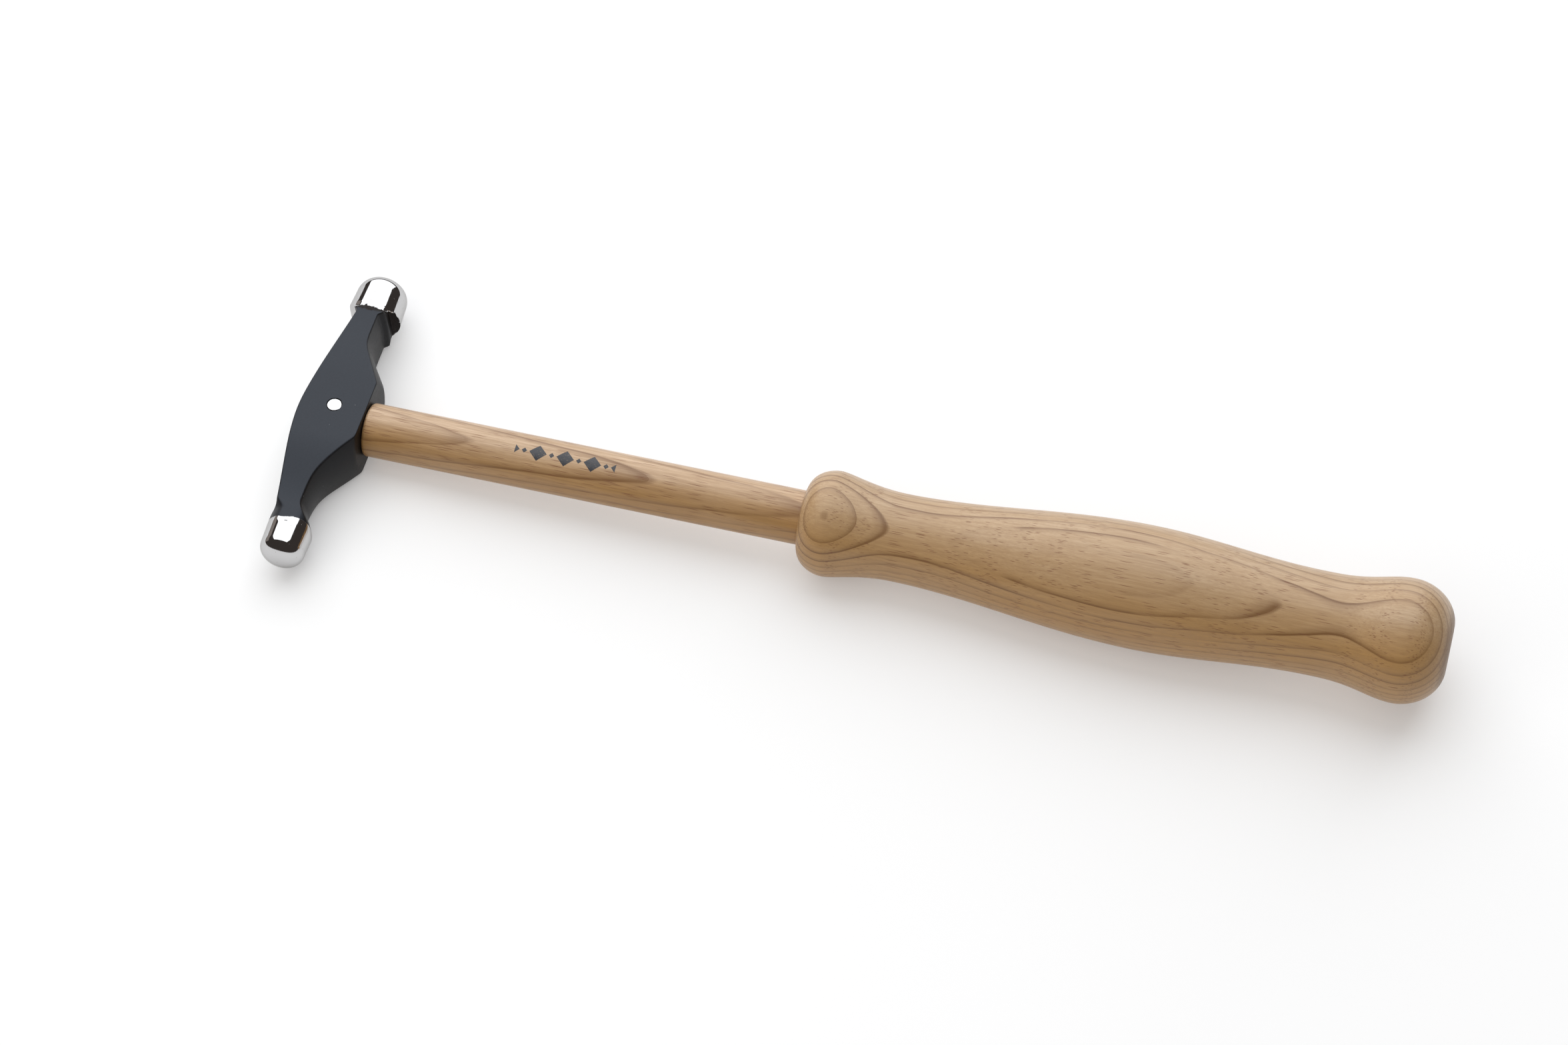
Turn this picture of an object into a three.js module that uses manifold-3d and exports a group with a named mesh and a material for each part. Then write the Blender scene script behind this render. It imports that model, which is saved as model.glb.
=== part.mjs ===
// A double-domed jeweller's hammer: a forged steel head on a turned wooden
// shaft, locked by a cross pin, with a swelling wooden grip glued on behind.
//
// Units are millimetres, +Z up. The hammer is drawn about the cross pin: X runs
// along the handle from head to butt, Y along the head, Z through both cheeks.
// The finished group is then shifted so that its origin is the butt's centre.
import * as THREE from 'three';
import { mergeVertices } from 'three/addons/utils/BufferGeometryUtils.js';
import Module from 'manifold-3d';

const wasm = await Module();
wasm.setup();

// ---- Fits -----------------------------------------------------------------
const GLUE_GAP = 0.3; // radial room for glue in the eye and in the socket
const PIN_GAP = 0.25; // radial room around the cross pin
const SEAT_GAP = 0.3; // shaft shoulder to the head's flat
const BOTTOM_GAP = 1.0; // end of a tenon to the bottom of its hole
const DRILL_SLOPE = 0.6; // depth of a drilled hole's cone over its radius

// ---- Shaft and pin --------------------------------------------------------
const SHAFT_RADIUS = 6;
const TENON_RADIUS = 4.2;
const EYE_BACK = 2.6; // the eye's full bore ends this far beyond the pin's axis
const EXPOSED_SHAFT = 99.4; // shaft in sight between the head and the grip
const SOCKET_DEPTH = 42;
const END_CHAMFER = 0.7;
const PIN_RADIUS = 1.6;

// ---- Head -----------------------------------------------------------------
const FLAT_X = 7.26; // the flat that the shaft stands on
const CHEEK_HALF = 6.82; // half the thickness over the eye
const EYE_LAND = 8; // the cheeks are flat and parallel this far either way
const TAPER_LENGTH = 18; // beyond the land they thin over this length
const OUTER_CROWN = 0.25; // bulge of the flank on the far side from the shaft
const BOW = { x: -7.8, slope: 0.165, centre: -1.9, blend: 1 };

// Each limb is turned round first, with a dome on its end, and then its two
// cheeks and two flanks are cut. Lengths are distances from the pin's axis. An
// exit is where a flank's cut runs out of the metal: it moves out "by" some
// amount "over" some length.
const UPPER = {
  side: 1, axisX: -1.56, radius: 6.2, cone: 0.06, coneStart: 30, capStart: 34.85,
  tip: 39.85, swell: 1.5, swellStart: 27.1, swellOver: 1.5, cheekDrop: 0.55,
  waistX: 1.15, waistSlope: 0.58, waistStart: 18.3, waistBlend: 0.9,
  crownEye: 2, crownWaist: 0.4, exitEnd: 32,
  innerExit: [{ from: 26.6, over: 1.2, by: 1.1 }, { from: 29.5, over: 0.7, by: 4.5 }],
  outerExit: [{ from: 26.6, over: 4.8, by: 4.2 }],
};
const LOWER = {
  side: -1, axisX: -0.65, radius: 5.15, cone: 0.04, coneStart: 31, capStart: 35.1,
  tip: 38.6, swell: 1.8, swellStart: 23.6, swellOver: 4.2, cheekDrop: 2.05,
  waistX: 0.55, waistSlope: 0.64, waistStart: 17.6, waistBlend: 1.8,
  crownEye: 1.2, crownWaist: 1.0, exitEnd: 31.5,
  innerExit: [{ from: 24.8, over: 6.3, by: 2.9 }],
  outerExit: [{ from: 26, over: 4, by: 1.5 }],
};
const CAP_POWER = 2.3; // squareness of the domes, 2 being an ellipse
const CROWN_LENGTH = 15; // the inner flank's bulge settles over this length
const LIMB_SWELL = 1; // growth of the turned blank towards the eye, per mm

// ---- Grip -----------------------------------------------------------------
const NOSE_LENGTH = 6.5;
const NOSE_RIM = 0.5; // wall left at the mouth of the socket
const BULB_RADIUS = 11.65;
// From the bulb back, each run has its length, its end radius and its skew:
// a skew under 1 moves most of the change to the front of the run.
const GRIP_RUNS = [
  { length: 15, radius: 9.63, skew: 0.69 }, // neck behind the bulb
  { length: 53.5, radius: 13.48, skew: 0.96 }, // belly
  { length: 37.5, radius: 11.25, skew: 1 }, // waist before the heel
  { length: 18.5, radius: 13.45, skew: 1.45 }, // heel
];
const HEEL_LENGTH = 10;
const BUTT_RADIUS = 4.6; // the flat disc on the end

// ---- Fineness -------------------------------------------------------------
const ROUND_SIDES = 48;
const CHEEK_SIDES = 8;
const FLANK_SIDES = 12;
const CAP_STEPS = 8;
const STATION_STEP = 1.5;

// ---- Derived places along the handle --------------------------------------
const eyeRadius = TENON_RADIUS + GLUE_GAP;
const socketRadius = SHAFT_RADIUS + GLUE_GAP;
const shoulderX = FLAT_X + SEAT_GAP;
const gripX = shoulderX + EXPOSED_SHAFT;
const socketEndX = gripX + SOCKET_DEPTH;
const runsLength = GRIP_RUNS.reduce((sum, run) => sum + run.length, 0);
const buttX = gripX + NOSE_LENGTH + runsLength + HEEL_LENGTH;

// ---- Small helpers --------------------------------------------------------
const clamp01 = (t) => Math.min(1, Math.max(0, t));

const smoothstep = (t) => clamp01(t) ** 2 * (3 - 2 * clamp01(t));

const softplus = (t) => Math.log1p(Math.exp(-Math.abs(t))) + Math.max(t, 0);

function toSolid(geometry) {
  const bare = geometry.clone();
  bare.deleteAttribute('normal');
  bare.deleteAttribute('uv');
  const merged = mergeVertices(bare, 1e-5);
  return new wasm.Manifold(new wasm.Mesh({
    numProp: 3,
    vertProperties: new Float32Array(merged.attributes.position.array),
    triVerts: new Uint32Array(merged.index.array),
  }));
}

function toGeometry(solid) {
  const mesh = solid.getMesh();
  const geometry = new THREE.BufferGeometry();
  geometry.setAttribute('position', new THREE.BufferAttribute(mesh.vertProperties, 3));
  geometry.setIndex(new THREE.BufferAttribute(mesh.triVerts, 1));
  geometry.computeVertexNormals();
  return geometry;
}

// A solid of revolution about X from a list of [x, radius] points.
function turned(profile) {
  const points = profile.map(([x, radius]) => new THREE.Vector2(radius, x));
  return new THREE.LatheGeometry(points, ROUND_SIDES).rotateZ(-Math.PI / 2);
}

function pinShape(radius, halfLength) {
  const geometry = new THREE.CylinderGeometry(radius, radius, 2 * halfLength, ROUND_SIDES);
  return geometry.rotateX(Math.PI / 2);
}

// ---- Head sections --------------------------------------------------------
const exits = (list, along) => list.reduce(
  (sum, exit) => sum + exit.by * smoothstep((along - exit.from) / exit.over), 0);

// Edge of the cheeks on the far side from the shaft: a long shallow bow.
function outerEdge(y, limb) {
  const run = BOW.slope * (y - BOW.centre);
  const bow = BOW.x + Math.hypot(run, BOW.blend) - BOW.blend;
  return bow - exits(limb.outerExit, Math.abs(y));
}

// Edge of the cheeks on the shaft's side: straight off the eye, then a waist.
function innerEdge(y, limb) {
  const toWaist = (limb.waistStart - Math.abs(y)) / limb.waistBlend;
  const rise = limb.waistSlope * limb.waistBlend * softplus(toWaist);
  return limb.waistX + rise + exits(limb.innerExit, Math.abs(y));
}

function halfThickness(y, limb) {
  return CHEEK_HALF - limb.cheekDrop * smoothstep((Math.abs(y) - EYE_LAND) / TAPER_LENGTH);
}

function innerCrown(y, limb) {
  const settled = smoothstep((Math.abs(y) - EYE_LAND) / CROWN_LENGTH);
  return limb.crownEye + (limb.crownWaist - limb.crownEye) * settled;
}

// Radius of the turned blank: wide over the limb, then the dome and its cap.
function turnedRadius(y, limb) {
  const along = Math.abs(y);
  if (along < limb.capStart) {
    const swell = limb.swell * (1 - smoothstep((along - limb.swellStart) / limb.swellOver));
    const growth = LIMB_SWELL * Math.max(limb.swellStart - along, 0);
    return limb.radius - limb.cone * Math.max(along - limb.coneStart, 0) + swell + growth;
  }
  const rim = limb.radius - limb.cone * (limb.capStart - limb.coneStart);
  const t = clamp01((along - limb.capStart) / (limb.tip - limb.capStart));
  return rim * (1 - t ** CAP_POWER) ** (1 / CAP_POWER);
}

// The outline left by the four cuts, as [x, z] points round the section.
function cutOutline(y, limb) {
  const half = halfThickness(y, limb);
  const left = outerEdge(y, limb);
  const right = innerEdge(y, limb);
  const crown = innerCrown(y, limb);
  const points = [];
  for (let i = 0; i < CHEEK_SIDES; i++) {
    points.push([left + ((right - left) * i) / CHEEK_SIDES, half]);
  }
  for (let i = 0; i < FLANK_SIDES; i++) {
    const t = 1 - (2 * i) / FLANK_SIDES;
    points.push([right + crown * (1 - t * t), half * t]);
  }
  for (let i = 0; i < CHEEK_SIDES; i++) {
    points.push([right + ((left - right) * i) / CHEEK_SIDES, -half]);
  }
  for (let i = 0; i < FLANK_SIDES; i++) {
    const t = (2 * i) / FLANK_SIDES - 1;
    points.push([left - OUTER_CROWN * (1 - t * t), half * t]);
  }
  return points;
}

// One ring of the head: the cut outline, held inside the turned radius. Past
// the end of the flanks' cuts only the turned surface is left.
function headRing(y) {
  const limb = y < 0 ? LOWER : UPPER;
  const along = Math.abs(y);
  const middle = (LOWER.axisX + UPPER.axisX) / 2;
  const centreX = middle + (limb.axisX - middle) * smoothstep(along / limb.swellStart);
  const round = turnedRadius(y, limb);
  const uncut = smoothstep(along - limb.exitEnd + 1);
  return cutOutline(y, limb).map(([x, z]) => {
    const reach = Math.hypot(x - centreX, z);
    const cut = Math.min(reach, round);
    const radius = cut + (round - cut) * uncut;
    return [centreX + ((x - centreX) * radius) / reach, y, (z * radius) / reach];
  });
}

// Places along the head where rings are cut, from one tip to the other.
function headStations() {
  const cap = (limb) => {
    const height = limb.tip - limb.capStart;
    return Array.from({ length: CAP_STEPS }, (_, i) => {
      const angle = (Math.PI / 2) * (i / CAP_STEPS);
      return limb.side * (limb.capStart + height * Math.sin(angle) ** (2 / CAP_POWER));
    });
  };
  const span = LOWER.capStart + UPPER.capStart;
  const steps = Math.ceil(span / STATION_STEP);
  const body = Array.from({ length: steps - 1 }, (_, i) => {
    return -LOWER.capStart + (span * (i + 1)) / steps;
  });
  return [...cap(LOWER).reverse(), ...body, ...cap(UPPER)];
}

function headBlank() {
  const rings = headStations().map(headRing);
  const sides = rings[0].length;
  const corners = [
    [LOWER.axisX, -LOWER.tip, 0],
    ...rings.flat(),
    [UPPER.axisX, UPPER.tip, 0],
  ];
  const last = corners.length - 1;
  const triangles = [];
  for (let i = 0; i < sides; i++) {
    const next = (i + 1) % sides;
    triangles.push(0, 1 + next, 1 + i);
    triangles.push(last, last - sides + i, last - sides + next);
    for (let ring = 0; ring < rings.length - 1; ring++) {
      const here = 1 + ring * sides;
      const above = here + sides;
      triangles.push(here + i, above + next, above + i);
      triangles.push(here + i, here + next, above + next);
    }
  }
  const geometry = new THREE.BufferGeometry();
  geometry.setAttribute('position', new THREE.Float32BufferAttribute(corners.flat(), 3));
  geometry.setIndex(triangles);
  return geometry;
}

function makeHead() {
  const reach = 2 * (UPPER.tip + LOWER.tip);
  const beyondFlat = new THREE.BoxGeometry(reach, reach, reach);
  beyondFlat.translate(FLAT_X + reach / 2, 0, 0);
  const eye = turned([
    [-EYE_BACK - eyeRadius * DRILL_SLOPE, 0],
    [-EYE_BACK, eyeRadius],
    [FLAT_X + 1, eyeRadius],
    [FLAT_X + 1, 0],
  ]);
  const pinHole = pinShape(PIN_RADIUS + PIN_GAP, 2 * CHEEK_HALF);
  return toGeometry(toSolid(headBlank())
    .subtract(toSolid(beyondFlat))
    .subtract(toSolid(eye))
    .subtract(toSolid(pinHole)));
}

// ---- Shaft, pin and grip --------------------------------------------------
function makeShaft() {
  const tenonX = -EYE_BACK + BOTTOM_GAP;
  const endX = socketEndX - BOTTOM_GAP;
  const blank = turned([
    [tenonX, 0],
    [tenonX, TENON_RADIUS - END_CHAMFER],
    [tenonX + END_CHAMFER, TENON_RADIUS],
    [shoulderX, TENON_RADIUS],
    [shoulderX, SHAFT_RADIUS],
    [gripX, SHAFT_RADIUS],
    [endX - END_CHAMFER, SHAFT_RADIUS],
    [endX, SHAFT_RADIUS - END_CHAMFER],
    [endX, 0],
  ]);
  const pinHole = pinShape(PIN_RADIUS + PIN_GAP, 2 * TENON_RADIUS);
  return toGeometry(toSolid(blank).subtract(toSolid(pinHole)));
}

function makePin() {
  return pinShape(PIN_RADIUS, CHEEK_HALF);
}

// The grip's outside from nose to butt as [x, radius] points.
function gripOutline() {
  const mouth = socketRadius + NOSE_RIM;
  const points = [];
  const noseSteps = 7;
  for (let i = 0; i < noseSteps; i++) {
    const angle = (Math.PI / 2) * (i / noseSteps);
    const x = gripX + NOSE_LENGTH * (1 - Math.cos(angle));
    points.push([x, mouth + (BULB_RADIUS - mouth) * Math.sin(angle)]);
  }
  let x = gripX + NOSE_LENGTH;
  let radius = BULB_RADIUS;
  for (const run of GRIP_RUNS) {
    const steps = Math.max(5, Math.round(run.length / 5));
    for (let i = 0; i < steps; i++) {
      const t = i / steps;
      const ease = (1 - Math.cos(Math.PI * t ** run.skew)) / 2;
      points.push([x + run.length * t, radius + (run.radius - radius) * ease]);
    }
    x += run.length;
    radius = run.radius;
  }
  const heelSteps = 8;
  for (let i = 0; i <= heelSteps; i++) {
    const angle = (Math.PI / 2) * (i / heelSteps);
    const outward = (radius - BUTT_RADIUS) * Math.cos(angle);
    points.push([x + HEEL_LENGTH * Math.sin(angle), BUTT_RADIUS + outward]);
  }
  return points;
}

function makeGrip() {
  return turned([
    [socketEndX + socketRadius * DRILL_SLOPE, 0],
    [socketEndX, socketRadius],
    [gripX, socketRadius],
    ...gripOutline(),
    [buttX, 0],
  ]);
}

// ---- Assembly -------------------------------------------------------------
function piece(name, geometry, look) {
  const mesh = new THREE.Mesh(geometry, new THREE.MeshStandardMaterial(look));
  mesh.name = name;
  return mesh;
}

const hammer = new THREE.Group();
hammer.add(
  piece('head', makeHead(), { color: 0x474a52, roughness: 0.45, metalness: 0.6 }),
  piece('cross_pin', makePin(), { color: 0xe2e2e4, roughness: 0.3, metalness: 1 }),
  piece('shaft', makeShaft(), { color: 0xaa8c6c, roughness: 0.4, metalness: 0 }),
  piece('grip', makeGrip(), { color: 0xaf8e6a, roughness: 0.4, metalness: 0 }),
);
hammer.position.x = -buttX;

const group = new THREE.Group();
group.add(hammer);

export default group;
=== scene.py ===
"""Looks for a double-domed jeweller's hammer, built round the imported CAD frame."""
import math

import bpy
import numpy as np
from mathutils import Matrix, Vector


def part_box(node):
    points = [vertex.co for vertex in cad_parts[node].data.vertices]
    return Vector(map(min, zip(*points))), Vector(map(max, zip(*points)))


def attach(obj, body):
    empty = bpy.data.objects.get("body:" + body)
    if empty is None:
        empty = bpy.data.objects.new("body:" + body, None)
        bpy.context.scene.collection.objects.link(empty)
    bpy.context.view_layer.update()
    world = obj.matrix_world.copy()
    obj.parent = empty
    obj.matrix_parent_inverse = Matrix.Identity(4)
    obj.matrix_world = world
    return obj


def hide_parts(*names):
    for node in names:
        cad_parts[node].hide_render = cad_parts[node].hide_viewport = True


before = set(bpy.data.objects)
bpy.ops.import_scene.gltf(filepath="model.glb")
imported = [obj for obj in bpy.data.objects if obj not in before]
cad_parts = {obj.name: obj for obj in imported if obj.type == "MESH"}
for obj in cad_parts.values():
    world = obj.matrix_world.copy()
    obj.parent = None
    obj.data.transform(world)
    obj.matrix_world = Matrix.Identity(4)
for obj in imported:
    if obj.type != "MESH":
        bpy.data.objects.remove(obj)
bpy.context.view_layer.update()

MM = 0.001
FAR = 99  # a radius beyond every surface

# Sizes are in millimetres about the cross pin's centre, as in the CAD: X runs
# from the head to the butt, Y along the head, Z out of the upper cheek.
pin_low, pin_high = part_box("cross_pin")
PIN = (pin_low + pin_high) / 2
PIN_X = PIN.x / MM
SHAFT_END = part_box("shaft")[1].x / MM - PIN_X

# ---- Head, as turned and cut ------------------------------------------------
FLAT_X = 7.26         # the flat that the shaft's shoulder stands on
CHEEK_HALF = 6.82     # half the thickness from cheek to cheek
EYE_LAND = 8          # half the length of the level land over the eye
TAPER_LENGTH = 18     # the cheeks close in over this length past the land
OUTER_CROWN = 0.245   # bulge of the flank on the far side from the shaft
BOW = dict(x=-7.8, slope=0.165, centre=-1.9, blend=1)
UPPER = dict(
    side=1, axis=-1.56, radius=6.2, cone=0.06, cone_start=30, cap_start=34.85,
    tip=39.85, swell=1.5, swell_start=27.1, swell_over=1.5, cheek_drop=0.55,
    waist=1.15, waist_slope=0.58, waist_start=18.3, waist_blend=0.9,
    crown_eye=2, crown_waist=0.4, exit_end=32,
    inner_exit=[(26.6, 1.2, 1.1), (29.5, 0.7, 4.5)],
    outer_exit=[(26.6, 4.8, 4.2)],
)
LOWER = dict(
    side=-1, axis=-0.65, radius=5.15, cone=0.04, cone_start=31, cap_start=35.1,
    tip=38.6, swell=1.8, swell_start=23.6, swell_over=4.2, cheek_drop=2.05,
    waist=0.55, waist_slope=0.64, waist_start=17.6, waist_blend=1.8,
    crown_eye=1.2, crown_waist=1.0, exit_end=31.5,
    inner_exit=[(24.8, 6.3, 2.9)],
    outer_exit=[(26, 4, 1.5)],
)
CAP_POWER = 2.3
CROWN_LENGTH = 15
LIMB_SWELL = 1
EDGE_SOFT = 0.55      # how far the cut edges are eased
ROUND_SOFT = 0.3      # the same where a cut meets the turned surface
FLAT_SOFT = 0.4
FLANK_SPAN = 1.7      # a flank is followed this many half thicknesses from its middle
FLANK_POINTS = 400
SECTION_POINTS = 2880
LENGTH_SHARE = 0.62   # the rest of a section's points go where it turns
HEAD_SIDES = 272
STATION_STEP = 0.25
CAP_STEPS = 30

# ---- Shaft, pin and grip ----------------------------------------------------
EYE_RADIUS = 4.5
EYE_BACK = 2.6
DRILL_SLOPE = 0.6
HOLE_RADIUS = 1.7
HOLE_EASE = 0.12
BORE_SIDES = 96
PIN_RADIUS = 1.6
PIN_HALF = 6.8
PIN_EASE = 0.08       # the rod's ends are this much smaller in radius
PIN_EDGE = 0.1        # and reach full width this far below the tips
PIN_CROWN = 0.02
PIN_RIPPLE = 0.008
PIN_SET_BACK = 0.012
TENON_RADIUS = 4.2
TENON_X = -1.6
TENON_HOLE = 1.75
SHOULDER_X = 7.3
SHOULDER_ROUND = 0.8
END_EASE = 0.7        # chamfer on the tenon and round on the shaft's rear end
SHAFT_RADIUS = 6
SHAFT_SIDES = 160
SHAFT_RINGS = 240
GRIP_X = 106.96
GRIP_SIDES = 208
GRIP_STEP = 0.55
SOCKET_RADIUS = 6.06
SOCKET_END = 148.96
SOCKET_MOUTH = [(20, 0), (0.25, 0), (0.03, 0.12), (0, 0.35)]  # depth and widening
NOSE_RADIUS = 6.8
NOSE_LENGTH = 6.5
BULB_RADIUS = 11.65
# Each run's length, the radius that it ends at, and how its rise is skewed.
GRIP_RUNS = [(15, 9.63, 0.69), (53.5, 13.48, 0.96), (37.5, 11.25, 1), (18.5, 13.45, 1.45)]
HEEL_LENGTH = 10
BUTT_RADIUS = 4.6
BUTT_X = 247.96
BUTT_EASE = 0.35
BUTT_DROP = 0.04

# ---- Camera -----------------------------------------------------------------
CAMERA_AT = (244.9, -464.0, 685.9)
CAMERA_LOOK = (-0.1691, 0.5505, -0.8176)
CAMERA_RIGHT = (0.9655, 0.2590, -0.0253)
CAMERA_LENS = 88.78
CAMERA_SENSOR = 36


# ---- Small helpers ----------------------------------------------------------
def smoothstep(t):
    t = np.clip(t, 0.0, 1.0)
    return t * t * (3 - 2 * t)


def smooth_min(a, b, reach):
    """The smaller of a and b, blended where they are within reach of each other."""
    h = np.clip(0.5 + 0.5 * (b - a) / reach, 0.0, 1.0)
    return b + (a - b) * h - reach * h * (1 - h)


def finish_normals(obj, sharp_angle=35):
    """Smooth shading, broken at edges that turn by more than sharp_angle degrees."""
    obj.data.shade_smooth()
    obj.data.set_sharp_from_angle(angle=math.radians(sharp_angle))


def mesh_object(name, points, faces, sharp_angle=35):
    """A mesh from points in millimetres about the pin."""
    mesh = bpy.data.meshes.new(name)
    places = [((x + PIN_X) * MM, y * MM, z * MM) for x, y, z in points]
    mesh.from_pydata(places, [], faces)
    mesh.update()
    obj = bpy.data.objects.new(name, mesh)
    bpy.context.scene.collection.objects.link(obj)
    finish_normals(obj, sharp_angle)
    return obj


def ring_faces(rings, sides, start):
    """Quads between rings of points that are numbered from start on."""
    faces = []
    for r in range(rings - 1):
        here, above = start + r * sides, start + (r + 1) * sides
        for i in range(sides):
            j = (i + 1) % sides
            faces.append((here + i, here + j, above + j, above + i))
    return faces


def closed_rings(name, rings, first, last, sharp_angle=35):
    """Rings of points closed by a fan to a first and to a last point."""
    sides = len(rings[0])
    points = [first, *[p for ring in rings for p in ring], last]
    faces = ring_faces(len(rings), sides, 1)
    end = len(points) - 1
    for i in range(sides):
        j = (i + 1) % sides
        faces.append((0, 1 + j, 1 + i))
        faces.append((end, end - sides + i, end - sides + j))
    return mesh_object(name, points, faces, sharp_angle)


def circle_of(sides):
    """The cosines and sines of directions spread evenly round a circle."""
    angles = 2 * np.pi * np.arange(sides) / sides
    return np.column_stack([np.cos(angles), np.sin(angles)])


def turned(name, profile, sides, sharp_angle=35):
    """A solid of revolution about X from (x, radius) points between two axis points."""
    circle = circle_of(sides)
    rings = [
        np.column_stack([np.full(sides, x), circle * radius]) for x, radius in profile[1:-1]
    ]
    first, last = (profile[0][0], 0, 0), (profile[-1][0], 0, 0)
    return closed_rings(name, rings, first, last, sharp_angle)


def rod_along_z(name, profile, sides):
    """A solid of revolution about Z from (z, radius) points between two axis points."""
    circle = circle_of(sides)
    rings = [
        np.column_stack([circle * radius, np.full(sides, z)]) for z, radius in profile[1:-1]
    ]
    return closed_rings(name, rings, (0, 0, profile[0][0]), (0, 0, profile[-1][0]))


def subtract(obj, cutter):
    """Cuts cutter out of obj for good, and deletes the cutter."""
    modifier = obj.modifiers.new("cut", "BOOLEAN")
    modifier.operation = "DIFFERENCE"
    modifier.solver = "MANIFOLD"
    modifier.object = cutter
    bpy.context.view_layer.update()
    graph = bpy.context.evaluated_depsgraph_get()
    cut = bpy.data.meshes.new_from_object(obj.evaluated_get(graph))
    obj.modifiers.clear()
    old, obj.data = obj.data, cut
    bpy.data.meshes.remove(old)
    bpy.data.objects.remove(cutter)
    finish_normals(obj)


# ---- Head -------------------------------------------------------------------
def exits(steps, along):
    """How far a flank has run outward, as (start, over, by) steps along the limb."""
    return sum(by * smoothstep((along - start) / over) for start, over, by in steps)


def outer_edge(y, limb):
    """X of the flank on the far side from the shaft: a bow, then its run out."""
    run = BOW["slope"] * (y - BOW["centre"])
    bow = BOW["x"] + math.hypot(run, BOW["blend"]) - BOW["blend"]
    return bow - exits(limb["outer_exit"], abs(y))


def inner_edge(y, limb):
    """X of the flank on the shaft's side: a slope down to the waist, then its run out."""
    to_waist = (limb["waist_start"] - abs(y)) / limb["waist_blend"]
    rise = limb["waist_slope"] * limb["waist_blend"] * np.logaddexp(0, to_waist)
    return limb["waist"] + rise + exits(limb["inner_exit"], abs(y))


def turned_radius(y, limb):
    """Radius of the turned blank before the flanks and cheeks are cut."""
    along = abs(y)
    if along < limb["cap_start"]:
        swell = 1 - smoothstep((along - limb["swell_start"]) / limb["swell_over"])
        growth = LIMB_SWELL * max(limb["swell_start"] - along, 0)
        cone = limb["cone"] * max(along - limb["cone_start"], 0)
        return limb["radius"] - cone + limb["swell"] * swell + growth
    rim = limb["radius"] - limb["cone"] * (limb["cap_start"] - limb["cone_start"])
    t = min((along - limb["cap_start"]) / (limb["tip"] - limb["cap_start"]), 1)
    return rim * (1 - t**CAP_POWER) ** (1 / CAP_POWER)


def flank_reach(theta, edge, crown, half, centre, side):
    """Distance from the section's centre to a flank, for each direction theta."""
    t = np.linspace(-FLANK_SPAN, FLANK_SPAN, FLANK_POINTS)
    out = side * (edge + side * crown * (1 - t * t) - centre)
    angle = np.arctan2(half * t, out)
    distance = np.hypot(half * t, out)
    turned_theta = theta if side > 0 else np.pi - theta
    wrapped = (turned_theta + np.pi) % (2 * np.pi) - np.pi
    return np.interp(wrapped, angle, distance, left=FAR, right=FAR)


def flat_reach(theta, centre):
    """The same for the flat that the shaft stands on."""
    ahead = np.cos(theta)
    least = 0.05
    return np.where(ahead > least, (FLAT_X - centre) / np.maximum(ahead, least), FAR)


def head_ring(y):
    """One section of the head as (x, y, z) points, closer together at its corners."""
    limb = LOWER if y < 0 else UPPER
    along = abs(y)
    middle = (LOWER["axis"] + UPPER["axis"]) / 2
    centre = middle + (limb["axis"] - middle) * smoothstep(along / limb["swell_start"])
    half = CHEEK_HALF - limb["cheek_drop"] * smoothstep((along - EYE_LAND) / TAPER_LENGTH)
    settled = smoothstep((along - EYE_LAND) / CROWN_LENGTH)
    crown = limb["crown_eye"] + (limb["crown_waist"] - limb["crown_eye"]) * settled

    theta = np.pi + 2 * np.pi * np.arange(SECTION_POINTS) / SECTION_POINTS
    cheek = np.minimum(half / np.maximum(np.abs(np.sin(theta)), 1e-6), FAR)
    inner = flank_reach(theta, inner_edge(y, limb), crown, half, centre, 1)
    outer = flank_reach(theta, outer_edge(y, limb), OUTER_CROWN, half, centre, -1)
    reach = smooth_min(smooth_min(cheek, inner, EDGE_SOFT), outer, EDGE_SOFT)
    blank = turned_radius(y, limb)
    cut = smooth_min(reach, blank, ROUND_SOFT) if along < limb["cap_start"] else blank
    uncut = smoothstep(along - limb["exit_end"] + 1)
    radius = cut + (blank - cut) * uncut
    radius = smooth_min(radius, flat_reach(theta, centre), FLAT_SOFT)
    return spread_points(centre + radius * np.cos(theta), y, radius * np.sin(theta))


def spread_points(x, y, z):
    """Resamples a closed curve, partly by its length and partly by how much it turns."""
    step_x = np.roll(x, -1) - x
    step_z = np.roll(z, -1) - z
    length = np.hypot(step_x, step_z)
    heading = np.unwrap(np.arctan2(step_z, step_x))
    bend = np.abs(np.diff(heading, append=heading[-1]))
    by_length = LENGTH_SHARE * length / length.sum()
    by_bend = (1 - LENGTH_SHARE) * bend / max(bend.sum(), 1e-9)
    travelled = np.concatenate([[0], np.cumsum(by_length + by_bend)])
    travelled /= travelled[-1]
    wanted = np.arange(HEAD_SIDES) / HEAD_SIDES
    return np.column_stack([
        np.interp(wanted, travelled, np.append(x, x[0])),
        np.full(HEAD_SIDES, y),
        np.interp(wanted, travelled, np.append(z, z[0])),
    ])


def cap_stations(limb):
    """Sections over one dome, from its rim toward its tip."""
    height = limb["tip"] - limb["cap_start"]
    angles = (np.pi / 2) * np.arange(CAP_STEPS) / CAP_STEPS
    return limb["side"] * (limb["cap_start"] + height * np.sin(angles) ** (2 / CAP_POWER))


def head_stations():
    """Y of every section, from the lower tip to the upper one."""
    start = -LOWER["cap_start"] + STATION_STEP
    body = np.arange(start, UPPER["cap_start"] - STATION_STEP / 2, STATION_STEP)
    return np.concatenate([cap_stations(LOWER)[::-1], body, cap_stations(UPPER)])


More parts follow.
